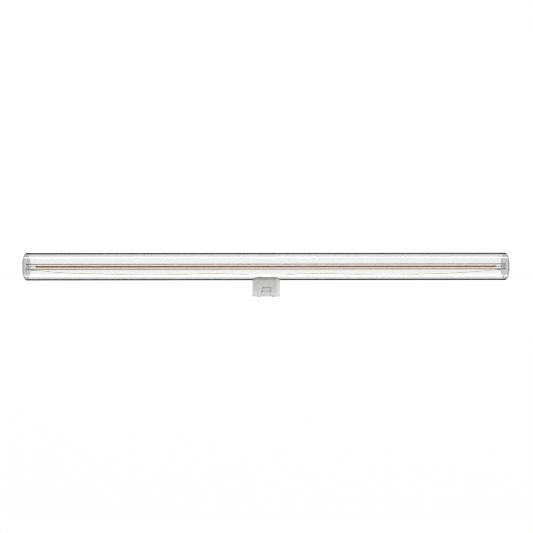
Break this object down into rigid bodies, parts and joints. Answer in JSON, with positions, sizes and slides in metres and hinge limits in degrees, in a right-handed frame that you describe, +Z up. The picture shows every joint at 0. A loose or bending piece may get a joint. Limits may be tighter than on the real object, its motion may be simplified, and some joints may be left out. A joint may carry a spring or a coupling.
{
  "type": "linear led tube lamp",
  "caption": "Clear linear LED tube lamp with an amber filament on its axis, drooping lead wires and a white push-in cap with contact pockets under its middle.",
  "frame": {"origin": "under the middle of the cap, on the plane that its foot rails stand on", "axes": "+X along the tube, +Y to the rear, +Z up"},
  "size_m": [0.5, 0.0286, 0.0458],
  "materials": {
    "clear_tube": "clear drawn glass, polished",
    "clear_end_cap": "clear moulded plastic, polished",
    "carrier_glass": "clear drawn glass, polished",
    "phosphor": "amber phosphor in silicone, satin",
    "nickel_strip": "nickel-plated strip, bright",
    "silicone": "milky silicone, matt",
    "enamelled_wire": "lacquered copper wire, glossy",
    "wire_sleeve": "brown sleeving, satin",
    "pad_rubber": "grey silicone rubber, matt",
    "white_moulding": "white moulded plastic, fine satin",
    "board_laminate": "glass-epoxy laminate with solder mask, satin",
    "black_epoxy": "moulded epoxy, matt",
    "capacitor_can": "drawn aluminium can, satin",
    "resistor_lacquer": "lacquered ceramic, satin"
  },
  "bodies": {
    "root": {"outer_tube": "clear_tube", "end_cap_left": "clear_end_cap", "end_cap_right": "clear_end_cap", "carrier_tube": "carrier_glass", "led_filament": "phosphor", "filament_tab_left": "nickel_strip", "filament_tab_right": "nickel_strip", "terminal_bush_left": "silicone", "terminal_bush_right": "silicone", "lead_wire_left": "enamelled_wire", "lead_wire_right": "enamelled_wire", "lead_sleeve_left": "wire_sleeve", "lead_sleeve_right": "wire_sleeve", "saddle_pad": "pad_rubber", "cap_shell": "white_moulding", "cap_base": "white_moulding", "contact_front": "nickel_strip", "contact_rear": "nickel_strip", "driver_board": "board_laminate", "driver_chip": "black_epoxy", "bridge_rectifier": "black_epoxy", "smoothing_capacitor": "capacitor_can", "fuse_resistor": "resistor_lacquer", "sense_resistors": "black_epoxy"}
  },
  "joints": []
}
